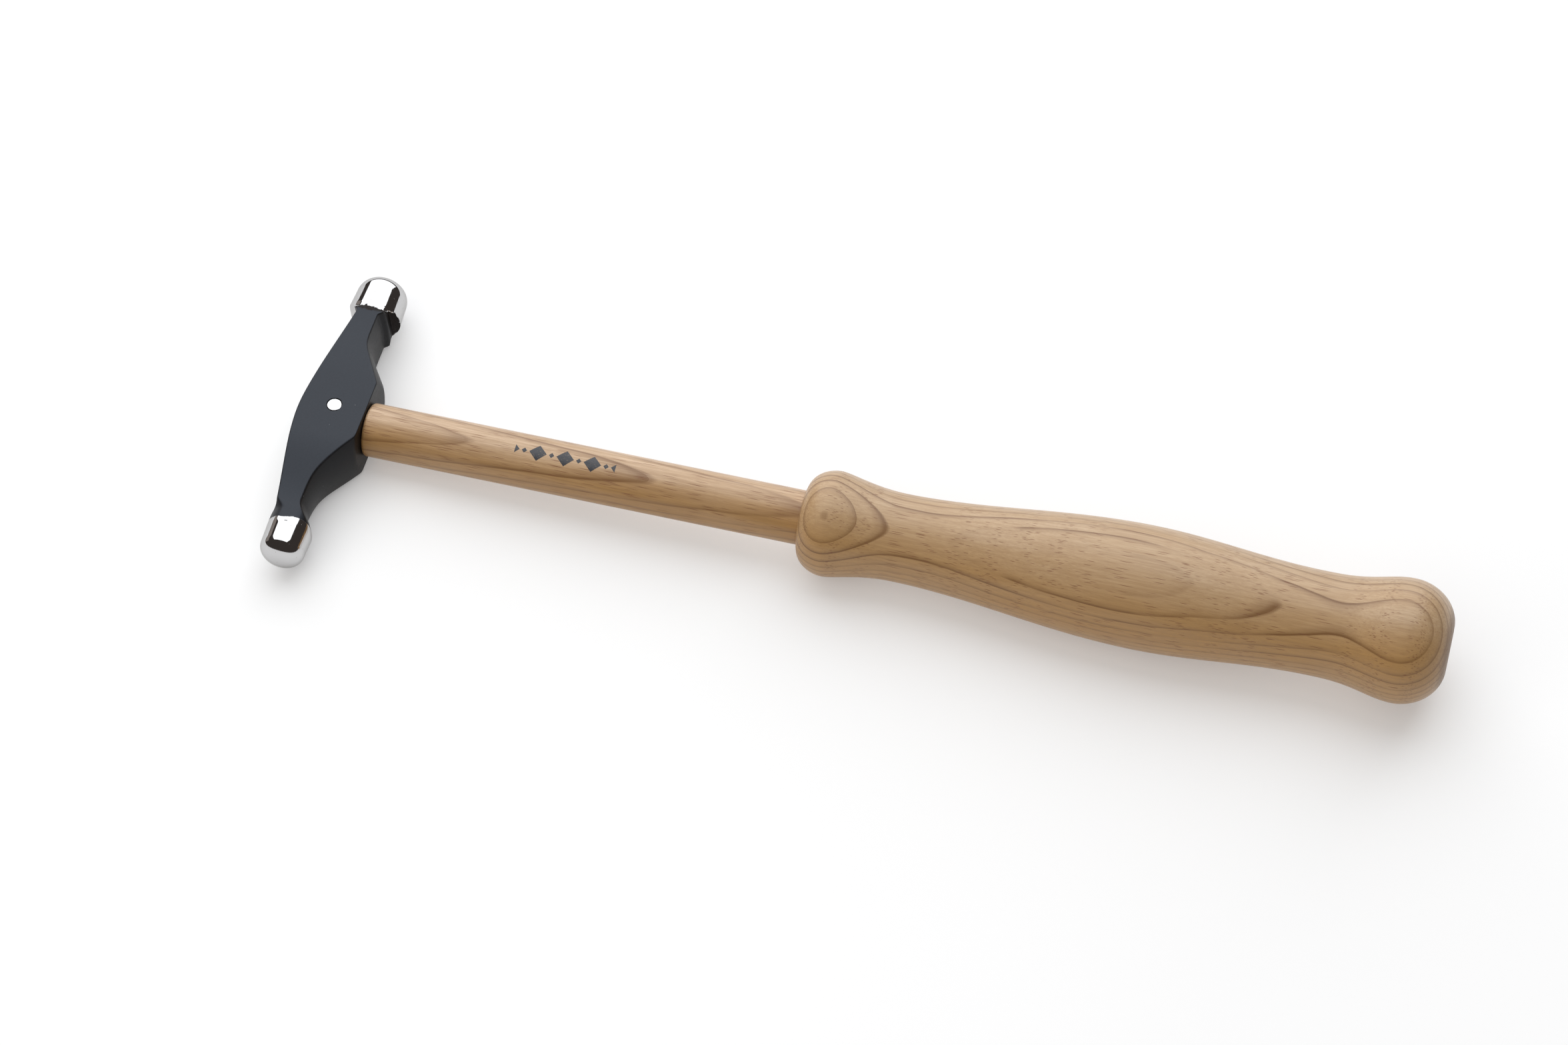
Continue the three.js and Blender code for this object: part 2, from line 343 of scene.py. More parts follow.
def make_head():
    """The forging, with the blind eye bored from the flat and the pin's hole across."""
    rings = [head_ring(y)[::-1] for y in head_stations()]
    first = (LOWER["axis"], -LOWER["tip"], 0)
    last = (UPPER["axis"], UPPER["tip"], 0)
    head = closed_rings("hammer_head", rings, first, last)
    eye = turned("eye_cutter", [
        (-EYE_BACK - EYE_RADIUS * DRILL_SLOPE, 0),
        (-EYE_BACK, EYE_RADIUS),
        (FLAT_X + 1, EYE_RADIUS),
        (FLAT_X + 1, 0),
    ], BORE_SIDES)
    subtract(head, eye)
    flare = HOLE_RADIUS + HOLE_EASE
    deep = CHEEK_HALF - HOLE_EASE
    past = 9
    hole = rod_along_z("hole_cutter", [
        (-past, 0), (-past, flare), (-CHEEK_HALF, flare), (-deep, HOLE_RADIUS),
        (deep, HOLE_RADIUS), (CHEEK_HALF, flare), (past, flare), (past, 0),
    ], BORE_SIDES)
    subtract(head, hole)
    return head


# ---- Pin, shaft and grip ----------------------------------------------------
def pin_end(side):
    """Rings over one dressed end, from near its middle out to the rod's full width."""
    angles = 2 * np.pi * np.arange(BORE_SIDES) / BORE_SIDES
    circle = circle_of(BORE_SIDES)
    rings = []
    for share in np.linspace(0.12, 1.0, 10):
        dip = PIN_CROWN * share**6 + PIN_RIPPLE * np.cos(3 * angles + side) * share
        z = side * (PIN_HALF - PIN_SET_BACK - dip)
        rings.append(np.column_stack([circle * (PIN_RADIUS - PIN_EASE) * share, z]))
    uneven = 0.018 * np.cos(2 * angles + 0.6) + 0.012 * np.cos(5 * angles + 2)
    edge = circle * (PIN_RADIUS + uneven)[:, None]
    rings.append(np.column_stack([edge, np.full(BORE_SIDES, side * (PIN_HALF - PIN_EDGE))]))
    return rings


def make_pin():
    """A rod whose ends are dressed flush: slightly domed, slightly out of round."""
    rings = [*pin_end(-1), *pin_end(1)[::-1]]
    tip = PIN_HALF - PIN_SET_BACK
    return closed_rings("cross_pin_rod", rings, (0, 0, -tip), (0, 0, tip), 50)


def arc(x, radius, size, start, end, steps):
    """Points of a quarter round about (x, radius), angles in degrees from +X."""
    return [
        (x + size * math.cos(a), radius + size * math.sin(a))
        for a in np.radians(np.linspace(start, end, steps))
    ]


def make_shaft():
    """The dowel: a tenon with the pin's hole, a rounded shoulder and an eased rear end."""
    round_x = SHOULDER_X + SHOULDER_ROUND
    shoulder = arc(round_x, SHAFT_RADIUS - SHOULDER_ROUND, SHOULDER_ROUND, 180, 90, 12)
    tail = arc(SHAFT_END - END_EASE, SHAFT_RADIUS - END_EASE, END_EASE, 90, 0, 6)
    body = np.linspace(round_x + 0.6, SHAFT_END - END_EASE - 0.5, SHAFT_RINGS)
    profile = [
        (TENON_X, 0), (TENON_X, TENON_RADIUS - END_EASE), (TENON_X + END_EASE, TENON_RADIUS),
        (SHOULDER_X, TENON_RADIUS), *shoulder,
        *[(x, SHAFT_RADIUS) for x in body], *tail, (SHAFT_END, 0),
    ]
    shaft = turned("dowel_shaft", profile, SHAFT_SIDES)
    past = 6
    hole = rod_along_z(
        "tenon_cutter", [(-past, 0), (-past, TENON_HOLE), (past, TENON_HOLE), (past, 0)], 64
    )
    subtract(shaft, hole)
    return shaft


def grip_outside():
    """The grip's outside from the nose to the butt as (x, radius) points."""
    points = []
    for angle in np.linspace(0, np.pi / 2, 40)[:-1]:
        x = GRIP_X + NOSE_LENGTH * (1 - math.cos(angle))
        points.append((x, NOSE_RADIUS + (BULB_RADIUS - NOSE_RADIUS) * math.sin(angle)))
    x, radius = GRIP_X + NOSE_LENGTH, BULB_RADIUS
    for length, end, skew in GRIP_RUNS:
        for t in np.linspace(0, 1, round(length / GRIP_STEP), endpoint=False):
            ease = (1 - math.cos(math.pi * t**skew)) / 2
            points.append((x + length * t, radius + (end - radius) * ease))
        x, radius = x + length, end
    for angle in np.linspace(0, np.pi / 2, 48)[:-2]:
        out = (radius - BUTT_RADIUS) * math.cos(angle)
        points.append((x + HEEL_LENGTH * math.sin(angle), BUTT_RADIUS + out))
    return points


def make_grip():
    """The turned grip, bored from its nose with a socket for the shaft."""
    socket = [(SOCKET_END + SOCKET_RADIUS * DRILL_SLOPE, 0), (SOCKET_END, SOCKET_RADIUS)]
    mouth = [(GRIP_X + depth, SOCKET_RADIUS + wider) for depth, wider in SOCKET_MOUTH]
    butt = [
        (BUTT_X - BUTT_DROP, BUTT_RADIUS + BUTT_EASE), (BUTT_X, BUTT_RADIUS - BUTT_EASE),
        (BUTT_X, BUTT_RADIUS / 2), (BUTT_X, 0),
    ]
    return turned("turned_grip", [*socket, *mouth, *grip_outside(), *butt], GRIP_SIDES, 40)


# ---- Materials --------------------------------------------------------------
class Graph:
    """A material's nodes, written as calls that return output sockets."""

    def __init__(self, name):
        self.material = bpy.data.materials.new(name)
        self.material.use_nodes = True
        self.tree = self.material.node_tree
        self.shader = self.tree.nodes["Principled BSDF"]

    def add(self, kind, inputs, **settings):
        node = self.tree.nodes.new("ShaderNode" + kind)
        for key, value in settings.items():
            setattr(node, key, value)
        for key, value in inputs.items():
            if isinstance(value, bpy.types.NodeSocket):
                self.tree.links.new(value, node.inputs[key])
            else:
                node.inputs[key].default_value = value
        return node

    def math(self, operation, *values):
        return self.add("Math", dict(enumerate(values)), operation=operation).outputs[0]

    def plus(self, a, b):
        return self.math("ADD", a, b)

    def minus(self, a, b):
        return self.math("SUBTRACT", a, b)

    def times(self, a, b):
        return self.math("MULTIPLY", a, b)

    def scaled(self, value, factor, offset):
        return self.math("MULTIPLY_ADD", value, factor, offset)

    def swing(self, noise, size):
        """A noise from 0 to 1, stretched to run from -size to size."""
        return self.scaled(noise, size * 2, -size)

    def position(self):
        """Place on the object in millimetres about the pin: x, y and z."""
        where = self.add("TexCoord", {}).outputs["Object"]
        split = self.add("SeparateXYZ", {0: where})
        x, y, z = (self.times(split.outputs[i], 1 / MM) for i in range(3))
        return self.minus(x, PIN_X), y, z

    def stretched(self, place, sizes, offset=0.0):
        """The place divided by a grain size along each axis."""
        parts = [self.scaled(p, 1 / size, offset) for p, size in zip(place, sizes)]
        return self.add("CombineXYZ", dict(enumerate(parts))).outputs[0]

    def noise(self, place, sizes, detail=2.0, roughness=0.5, offset=0.0):
        vector = self.stretched(place, sizes, offset)
        inputs = {"Vector": vector, "Scale": 1.0, "Detail": detail, "Roughness": roughness}
        return self.add("TexNoise", inputs).outputs[0]

    def cells(self, place, sizes, offset=0.0):
        """Distance to the nearest cell centre, and that cell's own random number."""
        vector = self.stretched(place, sizes, offset)
        node = self.add("TexVoronoi", {"Vector": vector, "Scale": 1.0})
        number = self.add("SeparateXYZ", {0: node.outputs["Color"]}).outputs[0]
        return node.outputs["Distance"], number

    def dots(self, place, sizes, offset, radii, numbers):
        """1 within the inner radius of those cells that draw a high enough number."""
        distance, number = self.cells(place, sizes, offset)
        return self.times(self.span(distance, *radii, 1.0, 0.0), self.span(number, *numbers))

    def span(self, value, start, end, low=0.0, high=1.0):
        """Goes smoothly from low to high as value goes from start to end."""
        inputs = {"Value": value, "From Min": start, "From Max": end,
                  "To Min": low, "To Max": high}
        return self.add("MapRange", inputs, interpolation_type="SMOOTHSTEP").outputs[0]

    def ramp(self, value, stops):
        """A grey level that follows (place, level) stops."""
        node = self.add("ValToRGB", {0: value})
        elements = node.color_ramp.elements
        while len(elements) < len(stops):
            elements.new(0.5)
        for element, (place, level) in zip(elements, stops):
            element.position = place
            element.color = (level, level, level, 1)
        return node.outputs[0]

    def mix(self, share, first, second):
        """first where share is 0, second where it is 1; colours or sockets."""
        node = self.add("Mix", {0: share}, data_type="RGBA")
        for index, value in ((6, first), (7, second)):
            if isinstance(value, bpy.types.NodeSocket):
                self.tree.links.new(value, node.inputs[index])
            else:
                node.inputs[index].default_value = (*value, 1)
        return node.outputs[2]

    def blend(self, share, first, second):
        """The same for plain numbers."""
        inputs = {0: share, 2: first, 3: second}
        return self.add("Mix", inputs, data_type="FLOAT").outputs[0]

    def bump(self, height, strength, depth_mm, under=None):
        inputs = {"Height": height, "Strength": strength, "Distance": depth_mm * MM}
        if under is not None:
            inputs["Normal"] = under
        return self.add("Bump", inputs).outputs[0]

    def link(self, **sockets):
        for name, socket in sockets.items():
            self.tree.links.new(socket, self.shader.inputs[name.replace("_", " ")])

    def set(self, **values):
        for name, value in values.items():
            self.shader.inputs[name.replace("_", " ")].default_value = value


# ---- Wood -------------------------------------------------------------------
RING_LINE = [(0, 1), (0.05, 0.95), (0.15, 0.42), (0.38, 0), (0.94, 0), (0.985, 0.85)]
# The butt's end is darker: partly the real darker end grain, partly painted shade on the end
# face.
END_GRAIN_AND_SHADE = (0.22, 0.12, 0.05)
END_GRAIN_AND_SHADE_SHARE = 0.75
LACQUER_ROUGH = 0.3
INK = (0.034, 0.036, 0.044)
INK_PERIOD = 6.2
INK_HALF_LENGTH = 11.4
# Shift along the shaft, half length and half height of the large and small lozenges.
LOZENGES = [(0, 2.0, 1.9), (INK_PERIOD / 2, 0.62, 0.62)]

# Lifts raise the ring layers between two places along the grain. Quiet gives a
# ring's number, where along the grain and from how far sideways it fades, and to what.
# Both woods are painted paler and pinker on the upper side than the lower, as a painted sheen;
# the slow cloud adds real random tone toward the same colour.
GRIP_LOOK = dict(
    layers=(-0.4155, 0.9096), start=GRIP_X + NOSE_LENGTH, slope=0.036,
    lifts=[(GRIP_X + 8, GRIP_X + 22, 0.9), (GRIP_X + 27, GRIP_X + 48, -0.75),
           (192, 205, -0.5), (212, 226, 0.5), (GRIP_X + 115, GRIP_X + 135, 0.35)],
    quiet=[(4, 140, 182, -20, 0.06), (4, 178, 200, -20, 0.35), (3, 126, 156, -20, 0.12),
           (3, 183, 228, 0.6, 0.15), (3, 226, 260, -20, 0.1)],
    slow=0.5, slow_size=(48, 13, 13), wobble=0.07, first=3.2, spacing=1.72,
    vessel=(7.0, 0.24, 0.24), vessel_from=1.48, grouping=1.9,
    fine_vessel=(2.4, 0.15, 0.15), fibre=0.36, hair=0.38, line=0.95,
    warm=(0.445, 0.23, 0.052), pink_tone_and_sheen=(0.57, 0.405, 0.25), painted_sheen_side=(-13, 6),
    brown=(0.33, 0.182, 0.075), late=(0.17, 0.074, 0.02), deep=(0.19, 0.065, 0.022),
    rough=0.42, coat=0.32,
)
SHAFT_LOOK = dict(
    GRIP_LOOK,
    layers=(-0.29, 0.957), start=45, slope=0.054, lifts=[], quiet=[],
    slow=0.7, slow_size=(34, 9, 9), wobble=0.1, first=4.49, spacing=2.1,
    vessel=(6.2, 0.22, 0.22), vessel_from=1.42, fibre=0.55, hair=0.45, line=1.0,
    warm=(0.42, 0.215, 0.048), pink_tone_and_sheen=(0.69, 0.5, 0.335), painted_sheen_side=(-5, 2.5),
)


def lozenge_ink(g, place, centre_x, centre_angle):
    """A plain row of lozenges round the shaft's upper side: 1 where there is ink."""
    x, y, z = place
    along = g.minus(x, centre_x)
    angle = g.math("ARCTAN2", y, z)
    around = g.math("ABSOLUTE", g.times(g.minus(angle, centre_angle), SHAFT_RADIUS))
    masks = []
    for shift, half_long, half_high in LOZENGES:
        moved = g.plus(along, shift + 10.5 * INK_PERIOD)
        within = g.minus(g.math("MODULO", moved, INK_PERIOD), INK_PERIOD / 2)
        outward = g.plus(g.math("DIVIDE", g.math("ABSOLUTE", within), half_long),
                         g.math("DIVIDE", around, half_high))
        masks.append(g.span(outward, 0.97, 1.03, 1.0, 0.0))
    both = g.math("MAXIMUM", *masks)
    end = INK_HALF_LENGTH
    inside = g.span(g.math("ABSOLUTE", along), end, end + 0.1, 1.0, 0.0)
    patchy = g.span(g.noise(place, (0.5, 0.16, 0.16), 3), 0.3, 0.42, 0.72, 1.0)
    return g.times(g.times(both, inside), patchy)


def ring_layers(g, place, across, look):
    """Depth through the wood's yearly layers, counted in layers."""
    x = place[0]
    tilt = g.times(g.minus(x, look["start"]), look["slope"])
    lift = 0.0
    for start, end, height in look["lifts"]:
        lift = g.plus(lift, g.span(x, start, end, 0.0, height))
    slow = g.swing(g.noise(place, look["slow_size"], 1.5, 0.5, 3.1), look["slow"])
    wobble = g.swing(g.noise(place, (11, 2.6, 2.6), 2, 0.5, 7.7), look["wobble"])
    depth = g.minus(g.minus(across, tilt), lift)
    depth = g.plus(g.plus(depth, slow), wobble)
    return g.math("DIVIDE", g.minus(depth, look["first"]), look["spacing"])


def ring_strength(g, x, beside, layer, look):
    """How clearly each ring shows, coming and going along the grain."""
    number = g.math("FLOOR", layer)
    own = g.add("TexWhiteNoise", {"W": number}, noise_dimensions="1D").outputs[0]
    fade = g.noise((x, g.times(number, 5.0), own), (26, 1, 1), 2, 0.5)
    shows = g.times(g.span(fade, 0.32, 0.55, 0.25, 1.0), g.scaled(own, 0.5, 0.5))
    nearest = g.math("ROUND", layer)
    for ring, start, end, side, level in look["quiet"]:
        same = g.math("COMPARE", nearest, float(ring), 0.5)
        near = g.times(g.span(x, start, start + 4), g.span(x, end - 4, end, 1.0, 0.0))
        near = g.times(near, g.span(beside, side - 1, side + 1))
        shows = g.times(shows, g.scaled(g.times(same, near), level - 1, 1.0))
    return shows


def large_vessels(g, place, look):
    """Open pores along the grain, kept together in groups."""
    group = g.noise(place, (22, 2.4, 2.4), 2, 0.5, 9.1)
    distance, number = g.cells(place, look["vessel"], 0.37)
    chance = g.plus(number, g.times(group, look["grouping"]))
    wanted = g.span(chance, look["vessel_from"], look["vessel_from"] + 0.1)
    return g.times(g.span(distance, 0.16, 0.34, 1.0, 0.0), wanted)


def wood(name, look, ink=None):
    """Lacquered wood: ring layers, fibres, vessels and slow colour changes, with a painted
    sheen on the upper side and painted shade on the butt's end.
    """
    g = Graph(name)
    place = g.position()
    x, y, z = place
    layer_y, layer_z = look["layers"]
    across = g.scaled(y, layer_y, g.times(z, layer_z))
    beside = g.scaled(y, layer_z, g.times(z, -layer_y))
    layer = ring_layers(g, place, across, look)
    line = g.ramp(g.math("FRACT", layer), RING_LINE)
    line = g.times(line, ring_strength(g, x, beside, layer, look))
    fibre = g.noise(place, (26, 0.55, 0.55), 4, 0.6)
    hair = g.noise(place, (6, 0.14, 0.14), 3, 0.65, 1.3)
    cloud = g.noise(place, (38, 9, 9), 3, 0.5, 5.5)
    vessel = large_vessels(g, place, look)
    fine = g.dots(place, look["fine_vessel"], 4.2, (0.1, 0.3), (0.4, 0.8))
    # The butt's end: real end grain with less lacquer, darkened further as painted shade.
    end_grain_and_shade = g.span(x, BUTT_X - 1.9, BUTT_X - 0.5, 0.0, END_GRAIN_AND_SHADE_SHARE)

    # Painted sheen: the upper side is mixed toward the pale pink colour, and the cloud adds
    # random tone on top.
    tone_and_sheen = g.scaled(g.span(beside, *look["painted_sheen_side"]), 0.75,
                    g.span(cloud, 0.3, 0.7, 0.0, 0.25))
    colour = g.mix(tone_and_sheen, look["warm"], look["pink_tone_and_sheen"])
    colour = g.mix(g.span(fibre, 0.32, 0.68, 0.0, look["fibre"]), colour, look["brown"])
    colour = g.mix(g.span(hair, 0.35, 0.7, 0.0, look["hair"]), colour, look["brown"])
    colour = g.mix(end_grain_and_shade, colour, END_GRAIN_AND_SHADE)
    colour = g.mix(g.times(line, look["line"]), colour, look["late"])
    colour = g.mix(g.times(fine, 0.3), colour, look["late"])
    colour = g.mix(g.times(vessel, 0.8), colour, look["deep"])

    roughness = g.scaled(hair, 0.16, look["rough"] - 0.08)
    roughness = g.plus(roughness, g.times(vessel, 0.2))
    height = g.scaled(fibre, 0.35, g.times(hair, 0.25))
    height = g.minus(height, g.times(vessel, 0.9))
    height = g.minus(height, g.times(line, 0.25))
    if ink is not None:
        printed = lozenge_ink(g, place, *ink)
        colour = g.mix(printed, colour, INK)
        roughness = g.plus(roughness, g.times(printed, 0.06))
    lacquer = g.scaled(end_grain_and_shade, -look["coat"], look["coat"])
    g.link(Base_Color=colour, Roughness=roughness, Coat_Weight=lacquer,
           Normal=g.bump(height, 0.5, 0.06))
    g.set(Coat_Roughness=LACQUER_ROUGH, Specular_IOR_Level=0.42)
    return g.material


# ---- Steel ------------------------------------------------------------------
COAT_DARK = (0.0045, 0.0045, 0.0056)
COAT_LIGHT = (0.008, 0.008, 0.0098)
# The flanks' browner coat, chosen by which way a surface faces, is painted shade.
FLANK_SHADE_COAT = (0.0095, 0.0078, 0.0066)
WORN_COAT = (0.03, 0.03, 0.032)
COAT_SPECK = (0.16, 0.16, 0.165)
BURNT_COAT = (0.022, 0.018, 0.016)
COAT_TINT = (0.78, 0.86, 1.0)
BARE_STEEL = (0.565, 0.562, 0.565)
PITTED_STEEL = (0.2, 0.17, 0.14)
STEEL_TINT = (0.72, 0.715, 0.705)


def past_coat_edge(g, place, is_upper):
    """Distance beyond the coat's ragged edge toward either tip."""
    x, y = place[:2]
    rag = g.minus(g.noise(place, (0.9, 0.9, 0.9), 4, 0.62), 0.5)
    upper = g.plus(g.span(x, 1.8, 3.8, 28.75, 30.1), g.span(x, -5.2, -3.6, -0.7, 0.0))
    upper = g.scaled(rag, 1.7, upper)
    lower = g.scaled(rag, 0.6, g.span(x, -2.5, 1.0, 30.08, 29.6))
    return g.minus(g.math("ABSOLUTE", y), g.blend(is_upper, lower, upper))


def under_lip(g, place, is_upper):
    """1 on the neck under the upper dome's lip, on the shaft's side."""
    x, y, z = place
    off_axis = g.minus(x, UPPER["axis"])
    from_axis = g.math("SQRT", g.scaled(off_axis, off_axis, g.times(z, z)))
    lip = UPPER["radius"]
    inside = g.span(from_axis, lip - 0.25, lip - 0.12, 1.0, 0.0)
    below = g.span(g.math("ABSOLUTE", y), 30.6, 30.9, 1.0, 0.0)
    return g.times(inside, g.times(below, g.times(g.span(x, 0.8, 1.4), is_upper)))


def coat_colour(g, place, mottle, on_cheek, burnt):
    """Near black, browner on the flanks as painted shade, with worn edges, specks and a burnt
    rim.
    """
    speck = g.dots(place, (1.9, 1.9, 1.9), 0.6, (0.03, 0.07), (0.72, 0.75))
    pointed = g.span(g.add("NewGeometry", {}).outputs["Pointiness"], 0.52, 0.6)
    coat = g.mix(g.span(mottle, 0.3, 0.7), COAT_DARK, COAT_LIGHT)
    coat = g.mix(on_cheek, FLANK_SHADE_COAT, coat)
    coat = g.mix(g.times(pointed, 0.25), coat, WORN_COAT)
    coat = g.mix(g.times(speck, 0.7), coat, COAT_SPECK)
    return g.mix(burnt, coat, BURNT_COAT)


def forging_bump(g, place, streak, band, bare, pit):
    """Fine grain and crust in the coat, pits in the domes, over a slow roll of both."""
    grain = g.noise(place, (0.12, 0.12, 0.12), 3, 0.6, 3.3)
    crust = g.noise(place, (0.42, 0.3, 0.42), 4, 0.65, 5.0)
    fine = g.plus(g.times(grain, 0.5), g.times(streak, 0.5))
    fine = g.plus(fine, g.times(band, g.times(crust, 5.0)))
    fine = g.times(fine, g.minus(1.0, bare))
    fine = g.minus(fine, g.times(bare, 0.5))
    fine = g.minus(fine, g.times(pit, bare))
    rolling = g.noise(place, (4.5, 4.5, 4.5), 1.5, 0.5, 1.7)
    return g.bump(fine, 0.4, 0.03, g.bump(rolling, 0.35, 0.05))


def steel_and_coat():
    """Dark satin coat over the forging, stopping raggedly short of polished domes."""
    g = Graph("coated_forging")
    place = g.position()
    is_upper = g.math("GREATER_THAN", place[1], 0.0)
    past = past_coat_edge(g, place, is_upper)
    bare = g.times(g.span(past, -0.03, 0.03), g.minus(1.0, under_lip(g, place, is_upper)))
    band = g.times(g.span(past, -1.5, -0.8), is_upper)
    patches = g.span(g.noise(place, (0.7, 0.4, 0.7), 3, 0.6, 2.2), 0.4, 0.75)
    burnt = g.times(band, g.scaled(patches, -0.4, 1.0))
    mottle = g.noise(place, (0.5, 0.5, 0.5), 4, 0.6, 6.1)
    streak = g.noise(place, (0.25, 3.4, 0.25), 3, 0.6, 8.8)
    haze = g.noise(place, (1.6, 1.6, 1.6), 3, 0.55, 4.4)
    pit = g.dots(place, (0.85, 0.85, 0.85), 2.9, (0.05, 0.11), (0.62, 0.66))
    facing = g.add("SeparateXYZ", {0: g.add("NewGeometry", {}).outputs["Normal"]})
    # Cheeks against flanks by facing: the flanks' browner colour and lower specular level are
    # painted shade.
    on_cheek = g.span(g.math("ABSOLUTE", facing.outputs[2]), 0.45, 0.92)

    steel = g.mix(g.times(pit, 0.75), BARE_STEEL, PITTED_STEEL)
    colour = g.mix(bare, coat_colour(g, place, mottle, on_cheek, burnt), steel)
    coat_rough = g.scaled(mottle, 0.12, g.scaled(streak, 0.1, 0.33))
    steel_rough = g.scaled(g.span(haze, 0.4, 0.75), 0.05, 0.045)
    steel_rough = g.plus(steel_rough, g.times(pit, 0.3))
    metallic = g.math("MAXIMUM", bare, g.times(burnt, 0.92))
    g.link(
        Base_Color=colour, Metallic=metallic,
        Roughness=g.blend(bare, coat_rough, steel_rough),
        Specular_Tint=g.mix(metallic, COAT_TINT, STEEL_TINT),
        Specular_IOR_Level=g.scaled(on_cheek, 0.28, 0.22),
        Normal=forging_bump(g, place, streak, band, bare, pit),
    )
    return g.material


def pin_steel():
    """Bright rod, its ends dressed with a fine file."""
    g = Graph("dressed_rod")
    place = g.position()
    scratch = g.noise(place, (1.4, 0.07, 0.5), 4, 0.65)
    dent = g.noise(place, (0.6, 0.6, 0.6), 3, 0.55, 2.0)
    grime = g.span(dent, 0.5, 0.75)
    height = g.scaled(scratch, 0.4, g.times(dent, 0.8))
    g.link(
        Base_Color=g.mix(g.times(grime, 0.3), (0.86, 0.86, 0.87), (0.55, 0.54, 0.53)),
        Roughness=g.scaled(scratch, 0.2, 0.2),
        Normal=g.bump(height, 0.35, 0.04),
    )
    g.set(Metallic=1.0)
    return g.material


def pale_board():
    """The floor: a white matt board with the faintest cloudiness and glow."""
    g = Graph("pale_board")
    cloud = g.noise(g.position(), (260, 260, 260), 3)
    colour = g.mix(cloud, (0.72, 0.72, 0.72), (0.76, 0.76, 0.76))
    g.link(Base_Color=colour, Roughness=g.scaled(cloud, 0.1, 0.75))
    g.set(Specular_IOR_Level=0.1, Emission_Color=(1, 1, 1, 1), Emission_Strength=0.26)
    return g.material


# ---- Pieces -----------------------------------------------------------------
SHAFT_INK = (53.5, math.radians(-11))  # the middle of the row, along and round the shaft


def place_piece(obj, material, node):
    obj.data.materials.clear()
    obj.data.materials.append(material)
    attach(obj, "root")
    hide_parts(node)


place_piece(make_head(), steel_and_coat(), "head")
place_piece(make_pin(), pin_steel(), "cross_pin")
place_piece(make_shaft(), wood("shaft_wood_look", SHAFT_LOOK, SHAFT_INK), "shaft")
place_piece(make_grip(), wood("grip_wood_look", GRIP_LOOK), "grip")


# ---- Floor, light and camera ------------------------------------------------
# The floor passes just under the belly of the grip and the lower cheek's far
# edge, so it lies at a small slope to the CAD's axes.
REST_X = -7.8
REST_Z = -7.0
FLOOR_SLOPE = -0.0351
FLOOR_DROP = 0.02
FLOOR_HALF = 9000
FLOOR_STEPS = 12

# Each light's place from the head and its width and height are in metres; its
# radiance and colour follow.
KEY_AT = (-0.3, 0.9, 1.15)
KEY_NORMAL = (0, 0.8, 1)
KEY_LIGHT = (2.48, 2.72, 2.02, (0.96, 0.98, 1.0))
FILL_AT = (-0.55, -1.1, 1.6)
FILL_LIGHT = (2.6, 2.0, 1.25, (1.0, 0.99, 0.97))
SIDE_AT = (-1.75, 0.5, 0.42)
SIDE_LIGHT = (1.5, 0.62, 0.26, (1.0, 0.88, 0.8))
ROOM = (0.055, 0.046, 0.042, 1)
BACKDROP = (0.9, 0.9, 0.9, 1)


def make_floor():
    normal = Vector((-FLOOR_SLOPE, 0, 1)).normalized()
    ahead = Vector((1, 0, FLOOR_SLOPE)).normalized()
    side = normal.cross(ahead)
    centre = Vector((REST_X, 0, REST_Z)) - normal * FLOOR_DROP
    steps = FLOOR_STEPS
    points, faces = [], []
    for i in range(steps + 1):
        for j in range(steps + 1):
            u, v = (2 * i / steps - 1) * FLOOR_HALF, (2 * j / steps - 1) * FLOOR_HALF
            points.append(tuple(centre + ahead * u + side * v))
    for i in range(steps):
        for j in range(steps):
            a = i * (steps + 1) + j
            faces.append((a, a + steps + 1, a + steps + 2, a + 1))
    floor = mesh_object("floor", points, faces)
    floor.data.materials.append(pale_board())


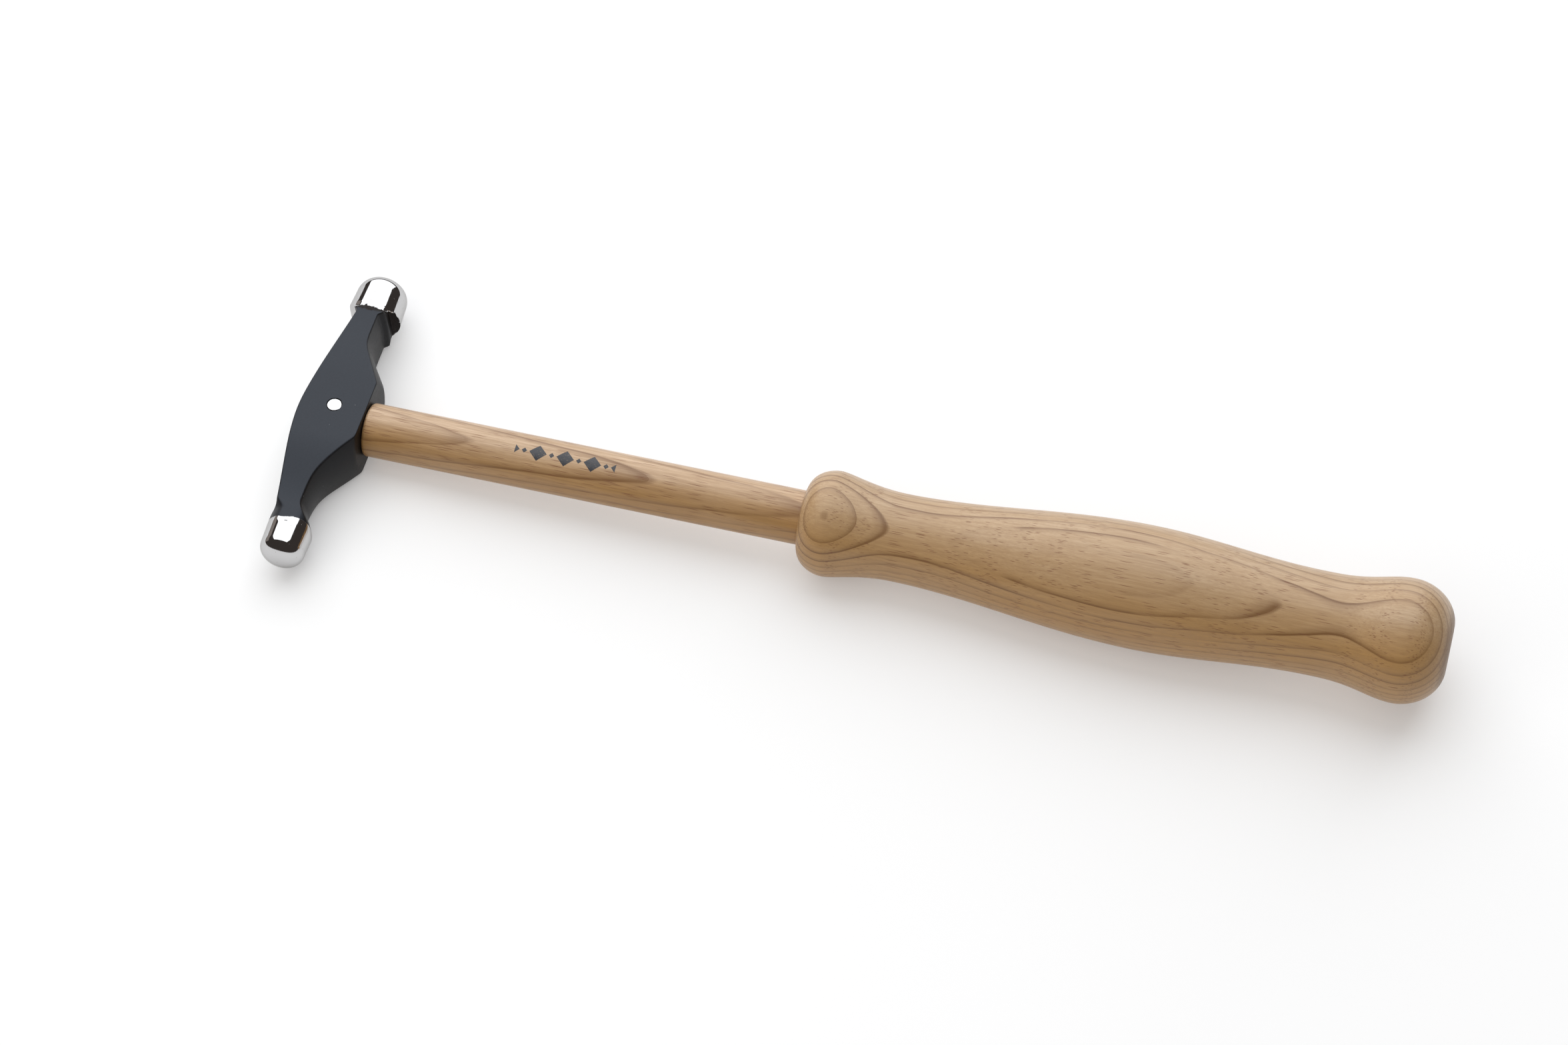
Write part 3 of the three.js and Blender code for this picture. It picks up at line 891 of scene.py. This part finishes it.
def softbox(name, centre, target, width, height, radiance, colour, roll_axis=(1, 0, 0)):
    """A rectangular light at centre, facing target, its width along roll_axis."""
    light = bpy.data.lights.new(name, "AREA")
    light.shape = "RECTANGLE"
    light.size, light.size_y = width, height
    light.energy = radiance * math.pi * width * height
    light.color = colour
    obj = bpy.data.objects.new(name, light)
    back = (centre - target).normalized()
    right = Vector(roll_axis)
    right = (right - back * right.dot(back)).normalized()
    turn = Matrix((right, back.cross(right), back)).transposed().to_4x4()
    obj.matrix_world = Matrix.Translation(centre) @ turn
    obj.visible_camera = False
    bpy.context.scene.collection.objects.link(obj)
    return obj


def make_lights():
    """A large key above and behind, a fill that leaves no highlight, and a dim side card."""
    head_at = Vector((PIN.x, 0, 0))
    key_centre = head_at + Vector(KEY_AT)
    softbox("key_softbox", key_centre, key_centre - Vector(KEY_NORMAL).normalized(), *KEY_LIGHT)
    fill = softbox("front_fill", head_at + Vector(FILL_AT), head_at, *FILL_LIGHT)
    fill.visible_glossy = False
    softbox("side_card", head_at + Vector(SIDE_AT), head_at, *SIDE_LIGHT, (0, 1, 0))


def make_world():
    """Pale behind the floor's far edge; a dark room to everything else."""
    world = bpy.data.worlds.new("studio")
    world.use_nodes = True
    bpy.context.scene.world = world
    tree = world.node_tree
    background = tree.nodes["Background"]
    seen = tree.nodes.new("ShaderNodeLightPath")
    mix = tree.nodes.new("ShaderNodeMix")
    mix.data_type = "RGBA"
    mix.inputs[6].default_value = ROOM
    mix.inputs[7].default_value = BACKDROP
    tree.links.new(seen.outputs["Is Camera Ray"], mix.inputs[0])
    tree.links.new(mix.outputs[2], background.inputs[0])
    background.inputs[1].default_value = 1.0


def make_camera():
    data = bpy.data.cameras.new("photo_camera")
    data.sensor_width = CAMERA_SENSOR
    data.lens = CAMERA_LENS
    data.clip_start, data.clip_end = 0.01, 100
    camera = bpy.data.objects.new("photo_camera", data)
    look = Vector(CAMERA_LOOK).normalized()
    right = Vector(CAMERA_RIGHT)
    right = (right - look * right.dot(look)).normalized()
    turn = Matrix((right, right.cross(look), -look)).transposed().to_4x4()
    at = (Vector(CAMERA_AT) + Vector((PIN_X, 0, 0))) * MM
    camera.matrix_world = Matrix.Translation(at) @ turn
    bpy.context.scene.collection.objects.link(camera)
    bpy.context.scene.camera = camera


make_floor()
make_lights()
make_world()
make_camera()
bpy.context.scene.view_settings.view_transform = "Standard"
